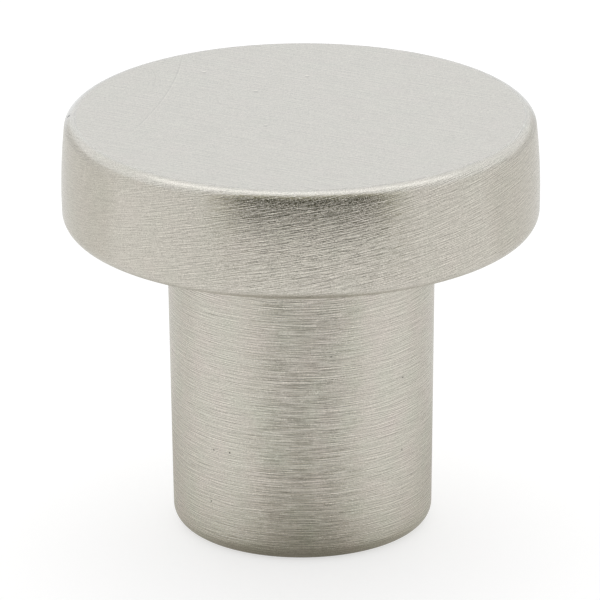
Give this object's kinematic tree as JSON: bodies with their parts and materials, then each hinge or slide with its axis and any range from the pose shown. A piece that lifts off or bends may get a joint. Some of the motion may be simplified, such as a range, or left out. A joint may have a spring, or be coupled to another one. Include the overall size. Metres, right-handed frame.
{
  "type": "cabinet knob",
  "caption": "Round cabinet or drawer knob: a thick disc head on a straight cylindrical neck, with a threaded blind hole in its flat seat for the mounting screw.",
  "frame": {"origin": "centre of the seat, the flat face that meets the cabinet front", "axes": "+Z along the knob's axis, from the seat to the head; the knob is round about Z"},
  "size_m": [0.032, 0.032, 0.0287],
  "materials": {
    "brushed_nickel": "warm grey satin nickel plate, brushed along the head's face and around its rim and neck"
  },
  "bodies": {
    "root": {"knob": "brushed_nickel"}
  },
  "joints": []
}
